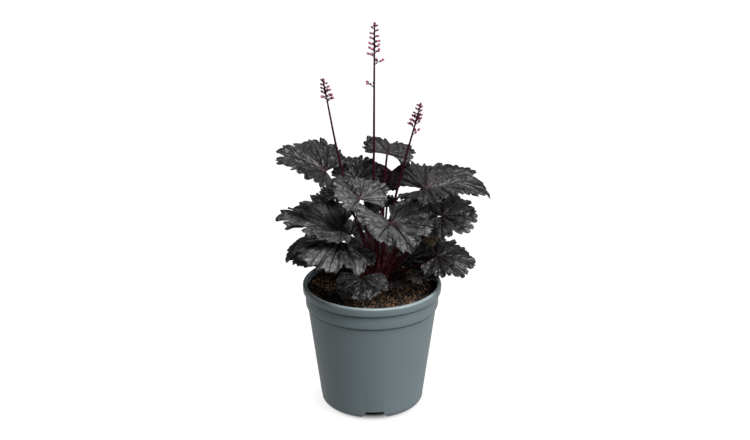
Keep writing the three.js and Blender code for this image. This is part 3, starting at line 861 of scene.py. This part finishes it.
creases = [(0.1202, 0.0016), (0.1056, 0.0014)]
pot_plastic, g, shader, where = new_finish("blue-grey pot plastic")
m = mottle(g, where, 14.0, 0.25)
plain = g.mix(m, rgb(83, 96, 100), rgb(94, 107, 111))
height = g.split(where["Object"])["Z"]
# Painted shade in the two creases under the lip and the band.
painted_crease_shade = g.larger(*(near_height(g, height, *crease) for crease in creases))
crease_shaded = g.mix(g.times(painted_crease_shade, 0.75), plain, rgb(30, 38, 41))
# Painted highlight along the top of the lip.
lip_highlighted = g.mix(g.times(g.ramp(height, 0.1283, 0.1298), 0.6), crease_shaded, rgb(150, 162, 164))
grain = g.noise(where["Object"], 2200.0, 2.0)
g.fill(shader, Base_Color=lip_highlighted, Roughness=g.ramp(m, *MOTTLE_SPAN, 0.36, 0.46))
g.fill(shader, Normal=g.bump(grain, 0.00004))

# %% [markdown]
# The pot
#
# The pot is a body of revolution, so it starts as a circle on the floor that is extruded and
# widened ring by ring: round foot, straight wall, shoulder, stacking band, rolled lip, and down
# again inside. Four channels under the floor let water out; they are cut with tapered bars, and
# a hole is drilled in the roof of each.

# %% Pot section
pot = dict(
    height=130, rim=70, rim_inner=66, lip=8, band=23.4, body=65, foot=52.5, corner=7.5, wall=1.3
)


def arc(centre, radius, start, end, steps):
    """Points on an arc in the pot's section, from one angle to another, in degrees."""
    angles = [math.radians(start + (end - start) * i / steps) for i in range(steps + 1)]
    return [(centre[0] + radius * math.cos(a), centre[1] + radius * math.sin(a)) for a in angles]


def pot_section():
    top, shoulder, lip = pot["height"], pot["height"] - pot["band"], pot["height"] - pot["lip"]
    foot = arc((pot["foot"] - pot["corner"], pot["corner"]), pot["corner"], -90, 8, 8)
    outside = [
        *foot,
        (pot["body"] - 0.1, shoulder - 3),
        (pot["body"], shoulder - 0.5),
        (pot["body"] - 0.2, shoulder),
        (pot["body"] + 1.2, shoulder + 0.3),
        (pot["body"] + 1.9, shoulder + 0.9),
        (pot["body"] + 2.1, shoulder + 1.8),
        (pot["rim"] - 2.7, lip - 2.2),
        (pot["rim"] - 3.0, lip - 1.5),
        (pot["rim"] - 3.0, lip - 0.7),
        (pot["rim"] - 1.0, lip - 0.5),
        (pot["rim"] - 0.4, lip),
        (pot["rim"] - 0.2, lip + 0.9),
    ]
    lip_top = arc((pot["rim"] - 2.4, top - 2.4), 2.4, 0, 90, 7)
    lip_top += arc((pot["rim_inner"] + 1, top - 1), 1, 90, 180, 4)
    inside = [
        (pot["rim_inner"], lip),
        (pot["rim_inner"] - 0.6, shoulder + 1.6),
        (pot["body"] - pot["wall"], shoulder),
        (pot["foot"] - pot["wall"], 9),
    ]
    return outside + lip_top + inside


# %% Channels and drain holes
channel = dict(foot=29, roof=17.5, length=46, height=10, out=-47, up=4, first=math.radians(3))
drain = dict(radius=4, depth=20, out=-38, up=6)


def cut(obj, cutter):
    """Cuts one shape out of another and removes the cutter."""
    tool = obj.modifiers.new("cut", "BOOLEAN")
    tool.operation = "DIFFERENCE"
    tool.solver = "EXACT"
    tool.object = cutter
    apply_modifiers(obj)
    bpy.data.objects.remove(cutter)


def channel_bar(angle):
    """A tapered bar that runs outwards under the floor."""
    bar = begin("channel_bar", bpy.ops.mesh.primitive_cube_add, size=1, location=(0, 0, 0))
    edit()
    bar_size = (channel["foot"] * MM, channel["length"] * MM, channel["height"] * MM)
    bpy.ops.transform.resize(value=bar_size)
    bpy.ops.transform.translate(value=(0, channel["out"] * MM, channel["up"] * MM))
    leave_edit()
    for vertex in bar.data.vertices:
        if vertex.co.z > channel["up"] * MM:
            vertex.co.x *= channel["roof"] / channel["foot"]
    bar.rotation_euler = (0, 0, angle)
    return settle(bar)


def drain_drill(angle):
    place = (0, drain["out"] * MM, drain["up"] * MM)
    size = dict(vertices=32, radius=drain["radius"] * MM, depth=drain["depth"] * MM)
    drill = begin("drain_drill", bpy.ops.mesh.primitive_cylinder_add, location=place, **size)
    settle(drill)
    drill.rotation_euler = (0, 0, angle)
    return settle(drill)


# %% Turn and cut the pot
pot_piece = turned("nursery_pot", pot_section(), 160, "NGON")
for i in range(4):
    around = channel["first"] + i * math.pi / 2
    cut(pot_piece, channel_bar(around))
    cut(pot_piece, drain_drill(around))
only(pot_piece)
bpy.ops.object.shade_smooth_by_angle(angle=math.radians(35))
pot_piece.data.materials.append(pot_plastic)
dress(pot_piece, "pot_plastic", "pot")
print("pot triangles:", triangles_of(pot_piece))


# %% [markdown]
# Potting soil
#
# Peat-free potting mix is dark brown, with crumbs, reddish fibres of coir and bark and a few pale
# grains. The ground is a fine grid, rounded to a disc. Its points follow the slow waves of the
# solid and are then raised a little more by noise. Crumbs, fibres and grains are modelled once
# each and then scattered over it with their own turn and size.


# %% Soil finishes
def earthy(name, dark, light, scale, roughness=0.9, fine_share=0.5):
    finish, g, shader, where = new_finish(name)
    m = mottle(g, where, scale, fine_share)
    rough = g.ramp(m, *MOTTLE_SPAN, roughness - 0.1, roughness)
    colour = g.mix(g.ramp(m, 0.42, 0.6), dark, light)
    g.fill(shader, Base_Color=colour, Roughness=rough, Normal=g.bump(m, 0.0004))
    return finish


soil_finish = earthy("moist soil", rgb(6, 4, 3), rgb(30, 20, 14), 260.0)
crumb_finish = earthy("soil crumbs", rgb(9, 6, 4), rgb(122, 92, 64), 260.0, fine_share=0.15)
fibre_finish = earthy("coir fibres", rgb(84, 46, 26), rgb(176, 132, 84), 120.0)
grit_finish = earthy("pale grit", rgb(150, 132, 108), rgb(214, 204, 186), 200.0, 0.8)
bark_finish = earthy("old stalk bases", rgb(36, 16, 16), rgb(96, 54, 42), 140.0)


# %% Soil surface
soil = dict(level=123, mound=2.5, bumps=0.55, gap=0.3, wall=(63.0, -17), floor=(50.0, -113))


def soil_height(x, y):
    r = math.hypot(x, y)
    bumps = math.sin(0.31 * x + 0.7) * math.cos(0.27 * y - 0.4)
    bumps = bumps + 0.6 * math.sin(0.53 * x - 0.41 * y + 1.3)
    mound = soil["mound"] * math.cos(math.pi / 2 * min(1, r / pot["rim_inner"]))
    return soil["level"] + mound + soil["bumps"] * bumps


def roughness_at(x, y):
    coarse = noise.noise((x * 0.45, y * 0.45, 3)) * 0.8
    return coarse + noise.noise((x * 1.3, y * 1.3, 8)) * 0.45


def make_soil():
    radius = pot["rim_inner"] - soil["gap"]
    size = dict(x_subdivisions=130, y_subdivisions=130, size=2)
    obj = begin("potting_soil", bpy.ops.mesh.primitive_grid_add, **size)
    for vertex in obj.data.vertices:
        x, y = vertex.co.x, vertex.co.y
        px, py = x * math.sqrt(1 - y * y / 2) * radius, y * math.sqrt(1 - x * x / 2) * radius
        vertex.co = Vector((px, py, soil_height(px, py) + roughness_at(px, py))) * MM
    only(obj)
    bpy.ops.object.mode_set(mode="EDIT")
    bpy.ops.mesh.select_mode(type="EDGE")
    bpy.ops.mesh.select_all(action="DESELECT")
    bpy.ops.mesh.select_non_manifold()
    grow_ring([(radius, 0), soil["wall"], soil["floor"]])
    bpy.ops.mesh.edge_face_add()
    face_outwards()
    bpy.ops.object.shade_smooth_by_angle(angle=math.radians(60))
    obj.data.materials.append(soil_finish)
    return dress(obj, "potting_soil", "soil")


soil_piece = make_soil()
print("soil triangles:", triangles_of(soil_piece))


# %% Scatter helper
def scatter(name, model, places, finish, slot):
    """One mesh with a copy of a small model at each place, given as turn-and-size matrices."""
    points = np.array([v.co[:] for v in model.data.vertices])
    faces = [list(p.vertices) for p in model.data.polygons]
    all_points, all_faces = [], []
    for i, place in enumerate(places):
        turn = np.array(place)
        all_points.append(points @ turn[:3, :3].T + turn[:3, 3])
        all_faces.extend([[v + i * len(points) for v in face] for face in faces])
    mesh = bpy.data.meshes.new(name)
    mesh.from_pydata(np.concatenate(all_points).tolist(), [], all_faces)
    obj = bpy.data.objects.new(name, mesh)
    bpy.context.scene.collection.objects.link(obj)
    bpy.data.objects.remove(model)
    return dress(coat(obj, finish), slot)


def placed(spot, turn, size):
    """The matrix that puts a small model at its spot, turned and sized."""
    if not isinstance(turn, Matrix):
        turn = turn.to_matrix().to_4x4()
    return Matrix.Translation(spot) @ turn @ Matrix.Scale(size, 4)


def soil_places(count, seed, sizes, sink, reach=63.5):
    draw = make_random(seed)
    places = []
    while len(places) < count:
        r, angle = reach * math.sqrt(draw()), 2 * math.pi * draw()
        x, y = r * math.cos(angle), r * math.sin(angle)
        size = sizes[0] + (sizes[1] - sizes[0]) * draw() ** 2
        turn = Euler((math.pi * draw(), math.pi * draw(), 2 * math.pi * draw()))
        near_crown = math.hypot(x - crown["x"], y - crown["y"]) < crown["radius"]
        if not near_crown:
            spot = Vector((x, y, soil_height(x, y) + size * sink))
            places.append(placed(spot * MM, turn, size))
    return places


def lumpy_ball(name, seed, flatness):
    obj = begin(name, bpy.ops.mesh.primitive_ico_sphere_add, subdivisions=1, radius=MM / 2)
    draw = make_random(seed)
    for vertex in obj.data.vertices:
        vertex.co *= 0.7 + 0.6 * draw()
        vertex.co.z *= flatness
    return obj


# %% Crumbs, grit and fibres
for name, shape, count, seed, sizes, sink, finish in (
    ("soil_crumbs", ("crumb", 5, 0.8), 3200, 11, (0.7, 2.8), 0.25, crumb_finish),
    ("soil_lumps", ("lump", 6, 0.7), 700, 12, (1.4, 4.2), 0.15, soil_finish),
    ("soil_grit", ("grain", 7, 0.9), 70, 13, (0.5, 1.3), 0.3, grit_finish),
):
    places = soil_places(count, seed, sizes, sink)
    scatter(name, lumpy_ball(*shape), places, finish, "potting_soil")

fibre = dict(radius=0.22, length=1.3, bend=0.3, narrows=(0.9, 0.6))


def fibre_model():
    """A short bent sliver of bark or coir."""
    length = fibre["length"] * MM
    size = dict(vertices=3, radius=fibre["radius"] * MM, depth=length, location=(0, 0, 0))
    obj = begin("fibre", bpy.ops.mesh.primitive_cylinder_add, **size)
    edit("DESELECT")
    leave_edit()
    for face in obj.data.polygons:
        face.select = face.normal.z > 0.9
    bpy.ops.object.mode_set(mode="EDIT")
    bpy.ops.mesh.select_mode(type="FACE")
    for size in fibre["narrows"]:
        bent = {"value": (fibre["bend"] * MM, 0, length)}
        bpy.ops.mesh.extrude_region_move(TRANSFORM_OT_translate=bent)
        bpy.ops.transform.resize(value=(size, size, size))
    leave_edit()
    return obj


def fibre_places(count, seed):
    draw = make_random(seed)
    places = []
    for place in soil_places(count, seed, (0.5, 1.3), 0.0):
        at = place.to_translation() + Vector((0, 0, 0.4 * MM))
        lie = Euler((math.pi / 2 + 0.35 * (draw() - 0.5), 0, 2 * math.pi * draw()))
        places.append(placed(at, lie, place.to_scale()[0]))
    return places


scatter("soil_fibres", fibre_model(), fibre_places(700, 14), fibre_finish, "potting_soil")
print("soil pieces scattered")


# %% [markdown]
# The crown
#
# The crown is the plant's short woody stock. It is covered by the overlapping, papery bases of
# old and new stalks. A rounded body with one small scale-shaped base copied round it in rings
# gives that look.

# %% Crown
knobs = dict(depth=0.08, spacing=5, across=0.98, upward=0.97)


def make_crown():
    size = dict(segments=48, ring_count=24, radius=MM)
    obj = begin("woody_crown", bpy.ops.mesh.primitive_uv_sphere_add, **size)
    for vertex in obj.data.vertices:
        d = vertex.co.normalized()
        height = crown["rise"] if d.z > 0 else crown["depth"]
        knob = 1 - knobs["depth"] * abs(noise.noise(d * knobs["spacing"]))
        radius = crown["radius"] * knobs["across"] * knob
        z = crown["widest"] + height * knobs["upward"] * knob * d.z
        vertex.co = Vector((crown["x"] + radius * d.x, crown["y"] + radius * d.y, z)) * MM
    return dress(coat(obj, bark_finish), "crown_bark", "crown")


def scale_model():
    """One papery stalk base, a pointed curved scale."""
    size = dict(x_subdivisions=4, y_subdivisions=5, size=1)
    obj = begin("scale", bpy.ops.mesh.primitive_grid_add, **size)
    for vertex in obj.data.vertices:
        across, along = vertex.co.x * 2, vertex.co.y + 0.5
        width = 2.6 * (1 - along**2) + 0.1
        height = 0.9 - 1.1 * across * across * (1 - along) + along
        vertex.co = Vector((across * width, along * 6.5, height)) * MM
    only(obj)
    shell = obj.modifiers.new("thickness", "SOLIDIFY")
    shell.thickness = 0.25 * MM
    return apply_modifiers(obj)


def scale_places():
    draw = make_random(21)
    places = []
    for ring, polar in enumerate((78, 66, 54, 42, 30)):
        count = 14 - 2 * ring
        for i in range(count):
            angle = 2 * math.pi * (i + 0.5 * (ring % 2)) / count + 0.3 * draw()
            point, outward = crown_point(angle, math.radians(polar))
            up = (UP - outward * outward.z).normalized()
            across = up.cross(outward)
            turn = Matrix((across, up, outward)).transposed().to_4x4()
            lean = Matrix.Rotation(0.15 + 0.25 * draw(), 4, "X")
            places.append(placed((point - up * 2.5) * MM, turn @ lean, 0.75 + 0.4 * draw()))
    return places


make_crown()
scatter("stalk_bases", scale_model(), scale_places(), bark_finish, "crown_bark")
print("crown made")


# %% [markdown]
# Young shoots and hairs
#
# Between the grown stalks the crown pushes up many thin young ones. They are short curved tubes
# like the stalks, joined into one piece. All stalks carry fine pale hairs: one small cone, copied
# along their lines.

# %% Young shoots
def shoot_line(draw):
    point, outward = crown_point(2 * math.pi * draw(), math.radians(15 + 60 * draw()))
    length = 14 + 28 * draw()
    lean = (outward + Vector((0, 0, 0.5 + draw()))).normalized()
    aside = Vector((draw() - 0.5, draw() - 0.5, 0)) * 0.35 * length
    start = point - outward
    bend = start + lean * 0.7 * length + aside * 0.4
    return [start, start + lean * 0.35 * length, bend, start + lean * length + aside]


def make_shoots(count):
    draw = make_random(31)
    tubes = []
    for i in range(count):
        radius = 0.45 + 0.35 * draw()
        radii = (radius, radius * 0.6)
        tubes.append(draw_tube(f"shoot_{i}", shoot_line(draw), radii, smooth_steps=8, sides=1))
    return dress(coat(join(tubes, "young_shoots"), shoot_skin), "leaf_stalk")


shoot_skin = earthy("young shoots", rgb(20, 5, 8), rgb(112, 44, 50), 300.0, 0.6)
shoots = make_shoots(90)
print("young shoots:", triangles_of(shoots), "triangles")


# %% Stalk hairs
hair = dict(radius=0.09, length=1.6, per_stalk=70)


def hair_model():
    size = dict(vertices=3, radius1=hair["radius"] * MM, radius2=0, depth=hair["length"] * MM)
    place = (0, 0, hair["length"] / 2 * MM)
    return settle(begin("hair", bpy.ops.mesh.primitive_cone_add, location=place, **size))


def hair_places(per_stalk):
    draw = make_random(32)
    places = []
    for leaf in natures:
        p = stalk_line(leaf)
        for _ in range(per_stalk):
            t = 0.15 + 0.83 * draw()
            s = 1 - t
            at = p[0] * s**3 + p[1] * 3 * s * s * t + p[2] * 3 * s * t * t + p[3] * t**3
            way = Vector((draw() - 0.5, draw() - 0.5, 0.5 * (draw() - 0.5))).normalized()
            places.append(placed(at * MM, UP.rotation_difference(way), 1.2 + 0.9 * draw()))
    return places


hair_finish = earthy("stalk hairs", rgb(120, 70, 76), rgb(170, 124, 126), 200.0, 0.7)
scatter("stalk_hairs", hair_model(), hair_places(hair["per_stalk"]), hair_finish, "leaf_stalk")
print("stalk hairs made")


# %% [markdown]
# Flower stems
#
# Three thin stems rise high above the leaves. Each is a smooth curve through four points of the
# frame. Towards the tip short branches stand off left and right, closer and shorter the higher
# they are, and each carries a few small buds. The largest are about to open and show paler
# petal tips, while the smallest are dark all over.

# %% Stem lines
stems = {
    "left": dict(
        points=[(5.2, 4.2, 134), (-12, 7, 180), (-31, 8, 251), (-47, 5, 338)],
        head=22, branches=10, low=[], turn=0,
    ),
    "centre": dict(
        points=[(6, 7.6, 134), (2, 7, 190), (2, 3, 290), (2.5, 0, 394)],
        head=32, branches=12, low=[63, 40], turn=math.pi,
    ),
    "right": dict(
        points=[(7.6, 5.2, 134), (16, 3, 185), (29, 1, 245), (47, 0, 315)],
        head=24, branches=11, low=[33], turn=0,
    ),
}
flower = dict(
    stem=1.3, tip=0.6, low_branch=8, branch=(5.2, 1.5), tip_size=0.75, scatter=1.5,
    fork=1.1, twig=0.36, fine_twig=0.28, small_bud=0.6, tip_buds=6,
)


def centripetal(points, per_span=40):
    """Points of a centripetal Catmull-Rom curve through the given points."""
    p = [Vector(q) for q in points]
    p = [p[0] * 2 - p[1], *p, p[-1] * 2 - p[-2]]
    line = []
    for a, b, c, d in zip(p, p[1:], p[2:], p[3:]):
        da, db, dc = (b - a).length ** 0.5, (c - b).length ** 0.5, (d - c).length ** 0.5
        start = ((b - a) / da - (c - a) / (da + db) + (c - b) / db) * db
        end = ((c - b) / db - (d - b) / (db + dc) + (d - c) / dc) * db
        for i in range(per_span):
            t = i / per_span
            line.append(
                b * (2 * t**3 - 3 * t**2 + 1)
                + start * (t**3 - 2 * t**2 + t)
                + c * (3 * t**2 - 2 * t**3)
                + end * (t**3 - t**2)
            )
    return line + [p[-2]]


def at_length(line, share):
    """The point at a share of the line's length."""
    steps = [(b - a).length for a, b in zip(line, line[1:])]
    target = share * sum(steps)
    for a, b, step in zip(line, line[1:], steps):
        if target <= step:
            return a.lerp(b, target / step)
        target -= step
    return line[-1].copy()


# %% Bud finish
petal, g, shader, where = new_finish("dusty pink buds")
uv = g.split(where["UV"])
opened = g.ramp(uv["X"], 0.4, 1.0, 0.05, 1.0)
along = g.times(g.ramp(uv["Y"], 0.45, 1.0), opened)
body = g.mix(mottle(g, where, 300.0, 0.3), rgb(60, 14, 32), rgb(108, 38, 62))
g.fill(shader, Base_Color=g.mix(along, body, rgb(176, 104, 128)))
g.fill(shader, Roughness=0.6, Specular_IOR_Level=0.3)

# %% Bud model
BUD_SIDES = 8
bud_rings = [
    (0.35, 0), (0.95, 0.5), (1.25, 1.3), (1.15, 2.1), (0.85, 2.5), (1.05, 3.0), (0.45, 2.9)
]


def bud_model():
    """A bell that is about to open: a round body, a waist and the tips of the petals."""
    return turned("bud", bud_rings, BUD_SIDES, "TRIFAN")


def bud_place(start, direction, size):
    return placed(start * MM, UP.rotation_difference(direction), size)


def slanted(angle, rise):
    return Vector((math.cos(angle), math.sin(angle), rise)).normalized()


# %% Twigs and buds
def twig(name, start, end, radius):
    points = [start, start.lerp(end, 0.33), start.lerp(end, 0.66), end]
    return draw_tube(name, points, (radius, radius * 0.8), smooth_steps=3, sides=1)


def branch_rows(stem):
    """From below: distance from the tip, length, size of the buds and how many of them."""
    rows = [(distance, flower["low_branch"], 1, 3) for distance in stem["low"]]
    for i in range(stem["branches"]):
        climb = i / stem["branches"]
        length = flower["branch"][0] + (flower["branch"][1] - flower["branch"][0]) * climb
        size = 1 + (flower["tip_size"] - 1) * climb
        rows.append((stem["head"] * (1 - climb), length, size, 2 if climb < 0.5 else 1))
    return rows


def branches_and_buds(stem, line, total, seed):
    """All twigs of a stem as start, end and radius, and the places of its buds."""
    draw = make_random(seed)
    twigs, buds = [], [bud_place(at_length(line, 0.998), UP, flower["tip_size"])]
    for i, (distance, length, size, count) in enumerate(branch_rows(stem)):
        start = at_length(line, 1 - distance / total)
        angle = stem["turn"] + math.pi * i + flower["scatter"] * (draw() - 0.5)
        direction = slanted(angle, 0.5 + 0.4 * draw())
        twigs.append((start, start + direction * length, flower["twig"]))
        buds.append(bud_place(start + direction * length, direction, size))
        for k in range(1, 3 if count == 1 else 4):
            fork = start + direction * (0.8 - 0.3 * min(k, 2)) * length
            aside = flower["fork"] * (1 if (i + k) % 2 else -1)
            way = slanted(angle + aside, 0.2 + 0.4 * k)
            end = fork + way * 0.4 * length
            twigs.append((fork, end, flower["fine_twig"]))
            buds.append(bud_place(end, way, size * (1 if k < count else flower["small_bud"])))
    for k in range(flower["tip_buds"]):
        spot = at_length(line, 1 - (0.4 + 0.55 * k) / total)
        buds.append(bud_place(spot, slanted(2.4 * k, 1.2), flower["small_bud"]))
    return twigs, buds


# %% Join each stem and map its buds
def make_stem(side, stem, seed):
    line = centripetal(stem["points"])
    total = sum((b - a).length for a, b in zip(line, line[1:]))
    twigs, buds = branches_and_buds(stem, line, total, seed)
    tubes = [make_main_stem(f"flower_stem_{side}_line", line)]
    tubes += [twig(f"twig_{i}", *row) for i, row in enumerate(twigs)]
    piece = join(tubes, f"flower_stem_{side}_branches")
    dress(coat(piece, stalk_skin), "flower", f"flower_stem_{side}")
    heads = scatter(f"buds_{side}", bud_model(), buds, petal, "flower")
    map_buds(heads.data, len(buds))
    return len(buds)


def make_main_stem(name, line):
    obj = begin(name, bpy.ops.curve.primitive_nurbs_path_add)
    obj.data.splines.clear()
    spline = obj.data.splines.new("POLY")
    points = line[::3] + [line[-1]]
    spline.points.add(len(points) - 1)
    for i, (knot, place) in enumerate(zip(spline.points, points)):
        knot.co = (*(place * MM), 1)
        knot.radius = flower["stem"] + (flower["tip"] - flower["stem"]) * (i / len(points)) ** 3
    return thicken(obj, 3)


def map_buds(mesh, count):
    """First direction: 0 for the smallest buds, 1 for the largest. Second: from foot to mouth."""
    per = len(mesh.vertices) // count
    co = np.array([v.co[:] for v in mesh.vertices])
    away = np.linalg.norm(co.reshape(count, per, 3) - co[::per][:, None], axis=2)
    size = away.max(axis=1)
    height = (away / size[:, None]).ravel()
    grown = np.repeat((size - size.min()) / (size.max() - size.min()), per)
    write_map(mesh, mesh.uv_layers.new(name="bud"), grown, height)


# %% All stems
for index, (side, stem) in enumerate(stems.items()):
    print("buds on the", side, "stem:", make_stem(side, stem, 100 + index))


# %% [markdown]
# Last look
#
# The dressed plant has to fit the box of its solids. Both boxes are printed side by side, and so
# is the count of all triangles.

# %% Compare sizes and finish
dressed_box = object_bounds()
for name, first, second in zip("xyz", zip(*cad_box), zip(*dressed_box)):
    print(name, [round(v * 1000, 1) for v in first], [round(v * 1000, 1) for v in second])
print("triangles in all:", sum(triangles_of(o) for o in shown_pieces() if o.type == "MESH"))
